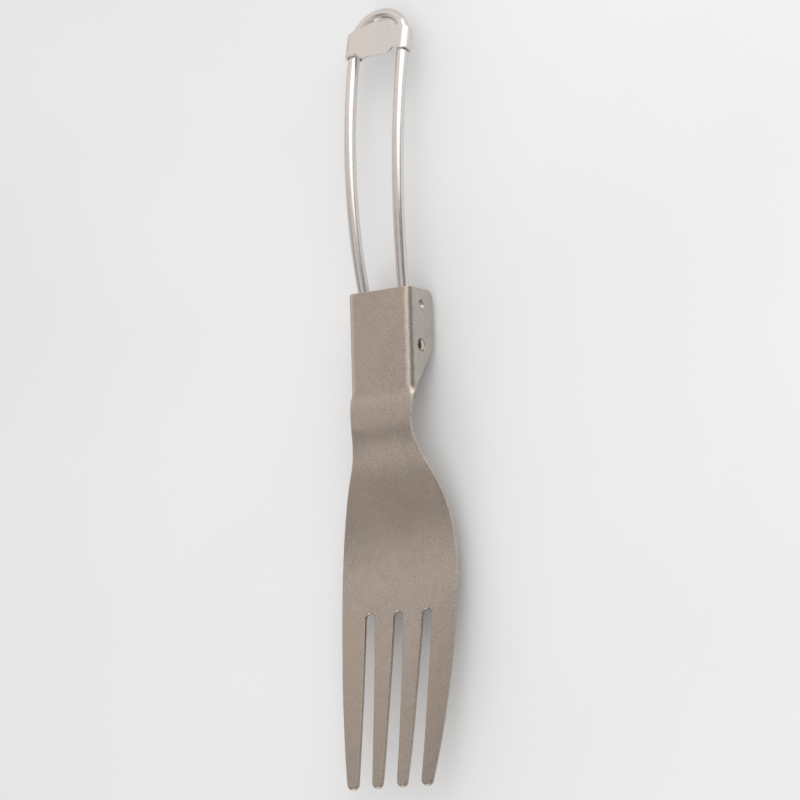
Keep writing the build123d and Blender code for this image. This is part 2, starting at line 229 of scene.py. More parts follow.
def in_material(loops, points):
    """Which points lie inside the first loop and outside the others."""
    result = inside(loops[0], points)
    for hole in loops[1:]:
        result &= ~inside(hole, points)
    return result


def jitter(points, seed):
    """A whisker of offset keeps the triangulation free of four points on one circle."""
    points = np.array(points)
    return points + np.random.default_rng(seed).uniform(-1e-4, 1e-4, points.shape)


# ------------------------------------------------------------------ meshes


def add_attribute(mesh, name, kind, field, values):
    data = mesh.attributes.new(name, kind, "POINT").data
    data.foreach_set(field, np.asarray(values, np.float32).ravel())


def make_mesh(name, points, faces, normals, flat, edge):
    """Object with the attributes the metals use: flat is the place on the unbent piece in mm,
    edge is how far a point is round an edge."""
    mesh = bpy.data.meshes.new(name)
    mesh.from_pydata([tuple(p * MM) for p in points], [],
                     [tuple(int(i) for i in f) for f in faces])
    mesh.validate(verbose=False)
    mesh.shade_smooth()
    add_attribute(mesh, "flat", "FLOAT_VECTOR", "vector", flat)
    add_attribute(mesh, "edge", "FLOAT", "value", edge)
    mesh.normals_split_custom_set_from_vertices([tuple(n) for n in normals])
    mesh.update()
    ob = bpy.data.objects.new(name, mesh)
    bpy.context.scene.collection.objects.link(ob)
    return ob


def edge_rings(r_outer, r_inner, thick, arcs=5):
    """Rings of a rounded edge from the outer to the inner face: inset, height, angle round
    the edge, sign of the face."""
    angles = [math.pi / 2 * j / arcs for j in range(arcs + 1)]
    outer = [(r_outer * (1 - math.sin(a)), -r_outer * (1 - math.cos(a)), a, 1) for a in angles]
    inner = [(r_inner * (1 - math.sin(a)), -thick + r_inner * (1 - math.cos(a)), a, -1)
             for a in angles]
    return outer + inner[::-1]


def triangulate(name, rims, grid):
    """Triangles of the sheet between the rims; indices run through the rims, then the grid."""
    points = np.vstack(rims + [grid])
    spans, edges, start = [], [], 0
    for rim in rims:
        k = len(rim)
        spans.append((start, k))
        edges += [(start + i, start + (i + 1) % k) for i in range(k)]
        start += k
    result = delaunay_2d_cdt([Vector(p) for p in points], edges, [], 0, 1e-7)
    faces, origins = result[2], result[3]
    if not all(origins):
        raise RuntimeError(name + ": outline crosses itself")
    faces = [[origins[i][0] for i in f] for f in faces]
    good = in_material(rims, np.array([points[f].mean(0) for f in faces]))

    def outside_sliver(face):
        """A flat triangle of three neighbouring rim points that lies outside the rim."""
        for start, k in spans:
            if not all(start <= i < start + k for i in face):
                continue
            for i in face:
                before, after = start + (i - start - 1) % k, start + (i - start + 1) % k
                if before in face and after in face:
                    a, b = points[i] - points[before], points[after] - points[i]
                    return a[0] * b[1] - a[1] * b[0] <= 0
        return False

    return [f for f, ok in zip(faces, good) if ok and not outside_sliver(f)]


def sheet_mesh(name, loops, grid, surface, thick, clear):
    """A bent sheet: flat pattern loops with rounded edges, triangulated once for both faces.
    loops: (points, edge radius at the outer face, at the inner face); the first is the outline.
    surface(u, v, n, side) places a point n above the outer face; side is 0 for the outer face
    and 1 for the inner. Grid points stay clear of the rims by the given distance."""
    verts, flat_normals, edge, faces = [], [], [], []
    rims, rim_ids = [], ([], [])
    count = 0
    for points, r_outer, r_inner in loops:
        k = len(points)
        inward, mitre = inward_normals(points)
        rings = edge_rings(np.broadcast_to(r_outer, (k,)), r_inner, thick)
        for inset, height, angle, sign in rings:
            s, c = math.sin(angle), math.cos(angle) * sign
            q = points + inward * (mitre * inset)[:, None]
            side = np.full(k, (1 - sign) / 2)
            verts.append(np.column_stack([q, np.broadcast_to(height, (k,)), side]))
            flat_normals.append(np.column_stack([-inward * s, np.full(k, c)]))
            edge.append(np.full(k, 0.25 + 0.75 * s))
        for j in range(len(rings) - 1):
            for i in range(k):
                a, b = count + j * k + i, count + j * k + (i + 1) % k
                faces.append((a, a + k, b + k, b))
        rims.append(points + inward * (mitre * r_outer)[:, None])
        rim_ids[0].extend(range(count, count + k))
        count += len(rings) * k
        rim_ids[1].extend(range(count - k, count))

    grid = grid[in_material([loop[0] for loop in loops], grid)]
    bound = np.vstack(rims)
    clear_of_rims = np.ones(len(grid), bool)
    for i in range(0, len(grid), 500):
        gap = grid[i:i + 500, None, :] - bound[None, :, :]
        clear_of_rims[i:i + 500] = (gap**2).sum(2).min(1) > clear**2
    grid = grid[clear_of_rims]

    triangles = triangulate(name, rims, grid)
    size = len(grid)
    for side in (0, 1):
        ids = rim_ids[side] + list(range(count, count + size))
        count += size
        verts.append(np.column_stack([grid, np.full(size, -thick * side), np.full(size, side)]))
        flat_normals.append(np.tile((0.0, 0.0, 1.0 - 2.0 * side), (size, 1)))
        edge.append(np.zeros(size))
        for f in triangles:
            face = tuple(ids[i] for i in f)
            faces.append(face if side == 0 else face[::-1])

    # points that no face uses are left out
    used = sorted({i for f in faces for i in f})
    place = {old: new for new, old in enumerate(used)}
    faces = [tuple(place[i] for i in f) for f in faces]
    pattern = np.vstack(verts)[used]
    flat_normals = np.vstack(flat_normals)[used]
    edge = np.concatenate(edge)[used]
    u, v, n, side = pattern.T
    e = 0.004

    def slope(du, dv, dn):
        return (surface(u + du, v + dv, n + dn, side) - surface(u - du, v - dv, n - dn, side))

    along_u = unit(slope(e, 0, 0))
    along_v = slope(0, e, 0)
    up = unit(np.cross(along_u, along_v / np.linalg.norm(along_v, axis=1)[:, None]))
    if float((up * slope(0, 0, e)).sum()) < 0:
        # a left-handed pattern: turn every face round so the mesh is not inside out
        up = -up
        faces = [f[::-1] for f in faces]
    along_v = unit(along_v - along_u * (along_v * along_u).sum(1)[:, None])
    normals = unit(along_u * flat_normals[:, :1] + along_v * flat_normals[:, 1:2]
                   + up * flat_normals[:, 2:])
    return make_mesh(name, surface(u, v, n, side), faces, normals, pattern[:, :3], edge)


# ------------------------------------------------------------------ fork head
# The flat pattern is measured by u along x and v across, unrolled round the fold.
V_WEB = HEAD_HALF_W - HEAD_BEND_R           # end of the flat web
BEND_LEN = HEAD_BEND_R * math.pi / 2
V_FLANGE = V_WEB + BEND_LEN                 # start of the straight flange


def v_of_z(z):
    """Flat pattern place of a height on the flange."""
    return V_FLANGE + (-z - HEAD_BEND_R)


V_HOLE = v_of_z(PIVOT_Z)
V_DIMPLE = v_of_z(DIMPLE_Z)
profile = Cubic(PROFILE, 0.0, PROFILE_END_SLOPE)


def head_outer(u, v):
    """Outer face of the head; the fold opens out into the flat neck."""
    folded = 1 - smooth01((u - FOLD_FADE[0]) / FOLD_FADE[1])
    curve = np.maximum(folded * (math.pi / 2) / BEND_LEN, 1e-5)
    across = np.abs(v)
    angle = np.clip(across - V_WEB, 0, BEND_LEN) * curve
    rest = np.maximum(across - V_FLANGE, 0)
    full = BEND_LEN * curve
    y = np.minimum(across, V_WEB) + np.sin(angle) / curve + rest * np.cos(full)
    drop = -(1 - np.cos(angle)) / curve - rest * np.sin(full)
    start = PROFILE[0][0]
    z = np.where(u < start, 0.0, profile(np.maximum(u, start)))
    return np.stack([u, np.sign(v) * y, z + drop], -1)


def dent(r, radius, depth, power):
    return depth * 0.5 * (1 + np.cos(np.pi * np.minimum(r / radius, 1) ** power))


def head_surface(u, v, n, side):
    e = 0.003
    normal = unit(np.cross(head_outer(u + e, v) - head_outer(u - e, v),
                           head_outer(u, v + e) - head_outer(u, v - e)))
    # a dimple is pressed inwards on each flange, with a slight lip round the punched cup
    r = np.hypot(u - DIMPLE_X, np.abs(v) - V_DIMPLE)
    cup = dent(r, CUP_R, CUP_DEPTH, CUP_POWER)
    bump = dent(r, BUMP_R, BUMP_DEPTH, BUMP_POWER)
    lip = LIP_HEIGHT * np.exp(-((r - LIP_R) / LIP_WIDTH) ** 2)
    push = np.where(side < 0.5, -cup + lip, -bump)
    return head_outer(u, v) + normal * (n + push)[:, None]


def head_outline():
    """Flat outline of the head: +Y half from the back edge round the tines to the slot end."""
    outline = Cubic([(x, y - OUTLINE_TRIM) for x, y in OUTLINE])
    slot_far = Cubic([(x, mid + half) for x, mid, half in SLOT_OUT])
    slot_near = Cubic([(x, mid - half) for x, mid, half in SLOT_OUT])
    slot_mid = Cubic(SLOT_MID)
    slot_x, slot_y, slot_r = SLOT_OUT[0]
    step = 0.40

    def side(curve, xs):
        return [(x, float(curve(x)), 0.0) for x in xs]

    def tip(first, second):
        x = TIP_X - TIP_STRAIGHT
        return [(x, float(first(x)), 0.0), (TIP_X, float(first(TIP_X)), TIP_ROUND),
                (TIP_X, float(second(TIP_X)), TIP_ROUND), (x, float(second(x)), 0.0)]

    def slot_end(y, r, count):
        """Points of a half circle of 24 steps."""
        turns = [math.pi * j / 24 for j in range(count)]
        return [(slot_x - r * math.sin(a), y + r * math.cos(a), 0.0) for a in turns]

    to_slot = np.arange(TIP_X - TIP_STRAIGHT - step, slot_x + 0.2, -step)
    to_tip = np.arange(slot_x + step, TIP_X - TIP_STRAIGHT - 0.3, step)
    corners = [(X_BACK, 0, 0.0), (X_BACK, v_of_z(-9.0), 1.90), (0.30, v_of_z(-8.55), 4.50),
               (10.98, 7.74, 2.6), (*OUTLINE[1], 0.0)]
    corners += side(outline, np.arange(13.6, TIP_X - TIP_STRAIGHT - 0.2, step))
    corners += tip(outline, slot_far) + side(slot_far, to_slot)
    corners += slot_end(slot_y, slot_r, 25) + side(slot_near, to_tip)
    corners += tip(slot_near, slot_mid) + side(slot_mid, to_slot)
    corners += slot_end(0.0, SLOT_MID[0][1], 13)
    return mirrored_loop(corners, arc_step=0.16, step=0.46)


def head_grid():
    """Inner points: rows matched to the fold, an even field ahead, rings round the dimples."""
    vs = [*np.linspace(0, V_WEB, 9), *(V_WEB + BEND_LEN * np.arange(1, 13) / 12),
          *(V_FLANGE + np.arange(1, 13) * 0.62)]
    vs = sorted(set(np.round([*vs, *[-v for v in vs]], 5)))
    us = [*np.arange(X_BACK + 0.5, 8.6, 0.55), *np.arange(8.8, 13.2, 0.28)]
    points = [(u, v) for u in us for v in vs]
    points += [(u, v) for u in np.arange(13.5, 91.6, 0.62) for v in np.arange(-14.07, 14.2, 0.67)]
    grid = np.array(points)
    patch_r = 1.62
    for v_mid in (V_DIMPLE, -V_DIMPLE):
        grid = grid[np.hypot(grid[:, 0] - DIMPLE_X, grid[:, 1] - v_mid) > patch_r + 0.14]
        patch = [(DIMPLE_X, v_mid)]
        for ring, r in enumerate(np.arange(0.13, patch_r + 0.01, 0.1242)):
            count = max(8, int(2 * math.pi * r / 0.15))
            for j in range(count):
                a = 2 * math.pi * (j + 0.5 * (ring % 2)) / count
                patch.append((DIMPLE_X + r * math.cos(a), v_mid + r * math.sin(a)))
        grid = np.vstack([grid, patch])
    return jitter(grid, 7)


def hole_loop(v_mid, sides=56):
    a = -2 * np.pi * np.arange(sides) / sides
    return np.stack([0 + HOLE_R * np.cos(a), v_mid + HOLE_R * np.sin(a)], 1)


def head_edge_radius(loop):
    """Edge rounding: fine along the sides, fuller round the tine tips and slot ends."""
    u, v = loop[:, 0], np.abs(loop[:, 1])
    tip = smooth01((u - TIP_X + 1.15) / 0.7)
    slot_end = smooth01((57.0 - u) / 0.9) * (u > 54.5) * (v < 9.5)
    return 0.16 + 0.26 * tip + 0.16 * slot_end


outline_loop = head_outline()
head = sheet_mesh(
    "fork_head_sheet",
    [(outline_loop, head_edge_radius(outline_loop), 0.24),
     (hole_loop(V_HOLE), 0.20, 0.20),
     (hole_loop(-V_HOLE), 0.20, 0.20)],
    head_grid(), head_surface, SHEET, clear=0.30)

# ------------------------------------------------------------------ wire handle
# The legs rise from the hinge until the wire meets the web at the back of the head, then arch
# downwards.
rise = math.atan2(-(SHEET + WEB_GAP + WIRE_R) - PIVOT_Z, -X_BACK)
PIVOT = np.array([0.0, 0.0, PIVOT_Z])
LEG_DIR = np.array([-math.cos(rise), 0.0, math.sin(rise)])
LEG_DOWN = np.array([-math.sin(rise), 0.0, -math.cos(rise)])
ARCH_CENTRE = PIVOT + LEG_STRAIGHT * LEG_DIR + ARCH_R * LEG_DOWN
Y_AXIS = np.array([0.0, 1.0, 0.0])


def arch_axes(d):
    """Directions along the arch and out of it, at a distance from the hinge."""
    a = (d - LEG_STRAIGHT) / ARCH_R
    return (LEG_DOWN * math.sin(a) + LEG_DIR * math.cos(a),
            LEG_DIR * math.sin(a) - LEG_DOWN * math.cos(a))


def on_leg(d, y):
    if d <= LEG_STRAIGHT:
        return PIVOT + d * LEG_DIR + y * Y_AXIS
    return ARCH_CENTRE + ARCH_R * arch_axes(d)[1] + y * Y_AXIS


def half_path():
    """Centreline of the +Y leg from the end of its hinge pin to the apex of the loop."""
    bend_y = LEG_HALF + PIN_BEND_R
    path = [PIVOT + y * Y_AXIS for y in np.linspace(HEAD_HALF_W + PIN_PROUD, bend_y, 6)]
    for t in np.linspace(0, math.pi / 2, 17)[1:]:
        path.append(PIVOT + PIN_BEND_R * (1 - math.cos(t)) * LEG_DIR
                    + (bend_y - PIN_BEND_R * math.sin(t)) * Y_AXIS)
    flare = Cubic(LEG_FLARE + [(LOOP_START, LOOP_HALF_W)], 0.0, -math.tan(LOOP_TURN_IN))
    for d in np.arange(PIN_BEND_R + 0.6, LOOP_START - 0.2, 0.6):
        path.append(on_leg(d, float(flare(d)) if d > LEG_FLARE[0][0] else LEG_HALF))

    # two arcs whose radii add up to the length and half width of the loop
    sin_in, cos_in = math.sin(LOOP_TURN_IN), math.cos(LOOP_TURN_IN)
    sin_to, cos_to = math.sin(SHOULDER_TO), math.cos(SHOULDER_TO)
    shoulder_r, apex_r = np.linalg.solve([[sin_to - sin_in, 1 - sin_to],
                                          [cos_in - cos_to, cos_to]], [LOOP_LEN, LOOP_HALF_W])
    base, along = on_leg(LOOP_START, 0.0), arch_axes(LOOP_START)[0]
    for t in np.linspace(LOOP_TURN_IN, SHOULDER_TO, 15):
        path.append(base + shoulder_r * (math.sin(t) - sin_in) * along
                    + (LOOP_HALF_W - shoulder_r * (cos_in - math.cos(t))) * Y_AXIS)
    for t in np.linspace(SHOULDER_TO, math.pi / 2, 15)[1:]:
        path.append(base + (LOOP_LEN - apex_r * (1 - math.sin(t))) * along
                    + apex_r * math.cos(t) * Y_AXIS)
    return path


def wire_mesh():
    half = half_path()
    path = np.array(half + [p * (1, -1, 1) for p in half[:-1]][::-1])
    along = np.concatenate([[0], np.cumsum(np.linalg.norm(np.diff(path, axis=0), axis=1))])
    tangent = np.gradient(path, along, axis=0)
    tangent[0], tangent[-1] = path[1] - path[0], path[-1] - path[-2]
    tangent = unit(tangent)
    normal = [np.array([0.0, 0.0, 1.0])]
    for t in tangent:
        normal.append(unit(normal[-1] - t * (normal[-1] @ t)))
    normal = normal[1:]
    verts, norms, flat, edge, cap = [], [], [], [], []

    def add_ring(i, centre, radius, place, axial=0.0, radial=1.0, edge_value=0.0, cap_value=0.0):
        """Ring in the wire's cross-section at path point i."""
        across = np.cross(tangent[i], normal[i])
        for a in 2 * np.pi * np.arange(WIRE_SIDES) / WIRE_SIDES:
            out = normal[i] * math.cos(a) + across * math.sin(a)
            verts.append(centre + out * radius)
            norms.append(axial + out * radial)
            flat.append((place, math.cos(a) * radius, math.sin(a) * radius))
            edge.append(edge_value)
            cap.append(cap_value)

    # rings of a cropped end from the middle outwards: radius, inset, angle round the rim
    end_rings = [(r, 0.0, 0.0) for r in (0.2, 0.44, 0.66)]
    for angle in [math.pi / 2 * j / 6 for j in range(7)]:
        end_rings.append((WIRE_R - WIRE_END_R * (1 - math.sin(angle)),
                          WIRE_END_R * (1 - math.cos(angle)), angle))

    def add_end(i, inward, place, rings):
        """Rounded, slightly domed end; place gives the distance along for an inset."""
        for radius, inset, angle in rings:
            lean = 2 * WIRE_DOME * radius / WIRE_R**2
            set_back = inset + WIRE_DOME * (radius / WIRE_R) ** 2
            add_ring(i, path[i] + inward * set_back, radius, place(inset),
                     axial=-inward * math.cos(angle),
                     radial=math.sin(angle) + lean * math.cos(angle),
                     edge_value=0.5 if angle > 0 else 0.0,
                     cap_value=max(0.0, 1 - angle / 0.9))

    length = along[-1]
    end_len = WIRE_END_R + WIRE_DOME + 0.05
    add_end(0, tangent[0], lambda inset: inset, end_rings)
    for i in range(*np.searchsorted(along, [end_len, length - end_len])):
        add_ring(i, path[i], WIRE_R, along[i])
    add_end(-1, -tangent[-1], lambda inset: length - inset, end_rings[::-1])

    last = len(verts) - WIRE_SIDES
    faces = []
    for base in range(0, last, WIRE_SIDES):
        for i in range(WIRE_SIDES):
            a, b = base + i, base + (i + 1) % WIRE_SIDES
            faces.append((a, b, b + WIRE_SIDES, a + WIRE_SIDES))
    for i, outward, base in ((0, -tangent[0], 0), (-1, tangent[-1], last)):
        centre = len(verts)
        verts.append(path[i])
        norms.append(outward)
        flat.append((along[i], 0, 0))
        edge.append(0.0)
        cap.append(1.0)
        for j in range(WIRE_SIDES):
            a, b = base + j, base + (j + 1) % WIRE_SIDES
            faces.append((centre, b, a) if i == 0 else (centre, a, b))
    ob = make_mesh("handle_wire", np.array(verts), faces, unit(np.array(norms)), flat, edge)
    add_attribute(ob.data, "cap", "FLOAT", "value", cap)
    return ob


wire = wire_mesh()

# ------------------------------------------------------------------ slide lock
# The flat pattern is measured by s along the handle, away from the hinge, and w across,
# unrolled round the strip.
lock_along, lock_up = arch_axes(LOCK_AT)
lock_middle = on_leg(LOCK_AT, 0.0)
LOCK_BEND_LEN = LOCK_BEND_R * math.pi / 2
LOCK_SIDE_LEN = (LOCK_TOP - LOCK_BEND_R) - (LOCK_BOTTOM + LOCK_BEND_R)
W_TOP = LOCK_HALF_W - LOCK_BEND_R           # end of the flat top
W_SIDE = W_TOP + LOCK_BEND_LEN              # start of the straight side
W_SIDE_END = W_SIDE + LOCK_SIDE_LEN
W_FLAP = W_SIDE_END + LOCK_BEND_LEN         # start of the flap under the wire
W_END = W_FLAP + (LOCK_HALF_W - LOCK_BEND_R - FLAP_END_Y)


def lock_surface(s, w, n, _side):
    across = np.abs(w)
    upper = np.clip(across - W_TOP, 0, LOCK_BEND_LEN) / LOCK_BEND_R
    lower = np.clip(across - W_SIDE_END, 0, LOCK_BEND_LEN) / LOCK_BEND_R
    y = (np.minimum(across, W_TOP) + LOCK_BEND_R * np.sin(upper)
         - LOCK_BEND_R * (1 - np.cos(lower)) - np.maximum(across - W_FLAP, 0))
    height = (LOCK_TOP - LOCK_BEND_R * (1 - np.cos(upper))
              - np.clip(across - W_SIDE, 0, LOCK_SIDE_LEN) - LOCK_BEND_R * np.sin(lower))
    y = (y + n * np.sin(upper + lower)) * np.where(w < 0, -1.0, 1.0)
    height = height + n * np.cos(upper + lower)
    return lock_middle + s[:, None] * lock_along + y[:, None] * Y_AXIS + height[:, None] * lock_up


def lock_outline():
    # round tongue towards the loop end
    depth = TONGUE_TIP - TONGUE_SHOULDER
    tongue_r = (depth ** 2 + TONGUE_HALF_W ** 2) / (2 * depth)
    sweep = math.asin(TONGUE_HALF_W / tongue_r)
    corners = [(TONGUE_TIP - tongue_r * (1 - math.cos(a)), tongue_r * math.sin(a), 0.0)
               for a in [sweep * j / 16 for j in range(16)]]
    # s, w, corner radius: down one side, across the flap and back along the hinge end
    corners += [
        (TONGUE_SHOULDER, TONGUE_HALF_W, 0.30), (3.10, 5.76, 0.28), (2.60, 6.30, 0.6),
        (2.02, W_TOP + LOCK_BEND_R, 2.5), (1.74, W_TOP + LOCK_BEND_R * 1.41, 1.5),
        (1.50, W_SIDE_END + 0.80, 1.5), (1.46, W_SIDE_END + 1.60, 1.2), (0.95, W_END, 0.45),
        (-2.28, W_END, 0.30), (-2.90, W_FLAP + 0.80, 0.7), (-2.96, W_SIDE_END + 1.40, 0.0),
        (-3.00, W_SIDE, 0.0), (-3.00, 5.45, 0.28), (-2.55, 4.75, 0.22), (-3.45, 4.02, 0.55),
        (-4.00, 3.30, 0.75), (-4.00, 0.0, 0.0)]
    return mirrored_loop(corners, arc_step=0.06, step=0.22)


def lock_grid():
    ws = [*np.linspace(0, W_TOP, 18), *(W_TOP + LOCK_BEND_LEN * np.arange(1, 13) / 12),
          *(W_SIDE_END + LOCK_BEND_LEN * np.arange(0, 13) / 12),
          *np.linspace(W_FLAP, W_END, 7)[1:]]
    points = [(s, sign * w) for s in np.arange(-4.0, 4.2, 0.34) for w in ws for sign in (1, -1)
              if not (w == 0 and sign < 0)]
    return jitter(points, 9)


lock = sheet_mesh("slide_lock_strip", [(lock_outline(), 0.17, 0.12)], lock_grid(), lock_surface,
                  LOCK_SHEET, clear=0.14)

# ------------------------------------------------------------------ shader helpers


class Kit:
    """Short ways to wire the shader nodes of a material or world."""

    def __init__(self, owner):
        owner.use_nodes = True
        self.tree = owner.node_tree
        self.tree.nodes.clear()

    def node(self, kind, **props):
        n = self.tree.nodes.new(kind)
        for key, value in props.items():
            setattr(n, key, value)
        return n

    def put(self, socket, value):
        if isinstance(value, bpy.types.NodeSocket):
            self.tree.links.new(value, socket)
        else:
            socket.default_value = value

    def attr(self, name, out):
        return self.node("ShaderNodeAttribute", attribute_name=name).outputs[out]

    def split(self, vector):
        n = self.node("ShaderNodeSeparateXYZ")
        self.put(n.inputs[0], vector)
        return n.outputs

    def math(self, op, *values, clamp=False):
        n = self.node("ShaderNodeMath", operation=op, use_clamp=clamp)
        for socket, value in zip(n.inputs, values):
            self.put(socket, value)
        return n.outputs[0]

    def times(self, a, b):
        return self.math("MULTIPLY", a, b)

    def scaled(self, value, gain, onto, clamp=False):
        """value * gain + onto."""
        return self.math("MULTIPLY_ADD", value, gain, onto, clamp=clamp)

    def vary(self, noise, gain, onto, clamp=False):
        """Adds a noise, centred on zero."""
        return self.scaled(self.math("SUBTRACT", noise, 0.5), gain, onto, clamp)

    def vmath(self, op, a, b):
        n = self.node("ShaderNodeVectorMath", operation=op)
        self.put(n.inputs[0], a)
        self.put(n.inputs["Scale" if op == "SCALE" else 1], b)
        return n.outputs["Value"] if op in ("DOT_PRODUCT", "LENGTH") else n.outputs[0]

    def noise(self, vector, scale, detail=2.0, rough=0.5, distort=0.0):
        n = self.node("ShaderNodeTexNoise")
        for key, value in (("Vector", vector), ("Scale", scale), ("Detail", detail),
                           ("Roughness", rough), ("Distortion", distort)):
            self.put(n.inputs[key], value)
        return n.outputs[0]

    def ramp(self, value, over, to=(0.0, 1.0), smooth=True):
        n = self.node("ShaderNodeMapRange", clamp=True,
                      interpolation_type="SMOOTHSTEP" if smooth else "LINEAR")
        for key, v in (("Value", value), ("From Min", over[0]), ("From Max", over[1]),
                       ("To Min", to[0]), ("To Max", to[1])):
            self.put(n.inputs[key], v)
        return n.outputs[0]

    def band(self, value, first, second):
        """Product of two ramps of one value."""
        return self.times(self.ramp(value, first), self.ramp(value, second))

    def mix(self, fac, a, b):
        n = self.node("ShaderNodeMix", data_type="RGBA")
        for i, value in ((0, fac), (6, a), (7, b)):
            self.put(n.inputs[i], value)
        return n.outputs[2]

    def surface(self, height, strength, distance, **inputs):
        """Principled surface with a bump; input names are written with underscores."""
        bump = self.node("ShaderNodeBump")
        bump.inputs["Strength"].default_value = strength
        bump.inputs["Distance"].default_value = distance
        self.put(bump.inputs["Height"], height)
        n = self.node("ShaderNodeBsdfPrincipled")
        for key, value in inputs.items():
            self.put(n.inputs[key.replace("_", " ")], value)
        self.put(n.inputs["Normal"], bump.outputs[0])
        return n.outputs[0]

    def output(self, kind, shader):
        self.put(self.node(kind).inputs[0], shader)


def rgb(r, g, b):
    """sRGB 0..255 to a linear colour."""
    out = []
    for c in (r, g, b):
        c /= 255
        out.append(c / 12.92 if c <= 0.04045 else ((c + 0.055) / 1.055) ** 2.4)
    return (*out, 1.0)


# ------------------------------------------------------------------ metals


def head_tone_and_painted_light(k, p, mid, colour):
    """Painted highlights, shade and a cool reflection on the head, and a darker tone on the
    tines, found by their place p on the flat pattern.
    """
    u, v, _ = k.split(p)
    ragged = k.vary(mid, gain=0.5, onto=k.math("ABSOLUTE", v, 0.0))

    def across(first, second):
        return k.ramp(ragged, over=(V_WEB + first, V_WEB + second))

    # painted highlight along the crown of the fold and painted shade below it; the tines are a
    # shade darker
    fold = k.ramp(u, over=(9.6, 8.6))
    painted_fold_highlight = k.times(across(-0.25, 0.35), across(1.10, 0.65))
    painted_fold_shade = k.times(across(0.70, 1.30), across(2.35, 1.75))
    gain = k.scaled(k.times(painted_fold_highlight, fold), gain=0.26, onto=1.0)
    gain = k.scaled(k.times(painted_fold_shade, fold), gain=-0.38, onto=gain)
    gain = k.times(gain, k.ramp(u, over=(44.0, 88.0), to=(1.0, 0.76), smooth=False))

    def from_dimple():
        return k.vmath("SUBTRACT", k.vmath("ABSOLUTE", p, p), (-DIMPLE_X, V_DIMPLE, 0.0))

    away = k.vmath("LENGTH", from_dimple(), p)
    # painted shade: a dark ring inside each dimple
    painted_dimple_shade = k.band(away, (1.25, 0.95), (0.30, 0.60))
    painted_dimple_shade = k.times(painted_dimple_shade, k.ramp(u, over=(0.0, -1.0)))
    gain = k.scaled(painted_dimple_shade, gain=-0.26, onto=gain)
    # painted highlight on the lower wall of each dimple and painted shade under its upper lip
    off_u, off_v, _ = k.split(from_dimple())
    painted_dimple_light = k.scaled(off_u, gain=-0.45, onto=k.times(off_v, 0.9))
    in_dimple = k.times(k.ramp(away, over=(1.15, 0.80)), k.ramp(u, over=(0.0, -1.0)))
    painted_dimple_light = k.times(k.ramp(painted_dimple_light, over=(-0.55, 0.65), to=(-0.46, 0.44)), in_dimple)
    gain = k.math("ADD", painted_dimple_light, gain)
    # painted shade: the +Y tines are darkened, and the start of the neck a little
    used = k.times(k.ramp(v, over=(2.0, 12.0)), k.ramp(u, over=(45.0, 62.0)))
    gain = k.times(gain, k.scaled(used, gain=-0.13, onto=1.0))
    neck = k.band(u, (10.5, 13.5), (17.2, 14.6))
    gain = k.times(gain, k.scaled(neck, gain=-0.14, onto=1.0))
    colour = k.vmath("SCALE", colour, gain)
    # painted cool reflection: the flanges are tinted a cooler grey
    flange = k.times(across(1.2, 2.4), fold)
    cooler = (0.99, 1.045, 1.085)
    return k.mix(flange, colour, k.vmath("MULTIPLY", colour, cooler))


def wire_end_painted_light(k, p, edge, cap, colour):
    """Painted shadow on the upper side of the cropped ends, and a painted highlight strip below
    it.
    """
    up = k.split(p)[1]
    end = k.scaled(edge, gain=2.0, onto=cap, clamp=True)
    # painted shadow on the upper side of each end
    painted_end_shading = k.times(end, k.ramp(up, over=(0.10, 0.62)))
    colour = k.vmath("SCALE", colour, k.scaled(painted_end_shading, gain=-0.88, onto=1.0))
    # painted highlight on the lower side of each end
    painted_highlight_strip = k.band(up, (0.28, 0.0), (-0.85, -0.45))
    colour = k.vmath("SCALE", colour, k.scaled(k.times(end, painted_highlight_strip), gain=0.42, onto=1.0))
    end_tint, painted_shade_tint = (1.02, 0.98, 0.90), (1.35, 1.05, 0.80)
    colour = k.mix(end, colour, k.vmath("MULTIPLY", colour, end_tint))
    # the painted shadow also takes a brown tint
    return k.mix(painted_end_shading, colour, k.vmath("MULTIPLY", colour, painted_shade_tint))


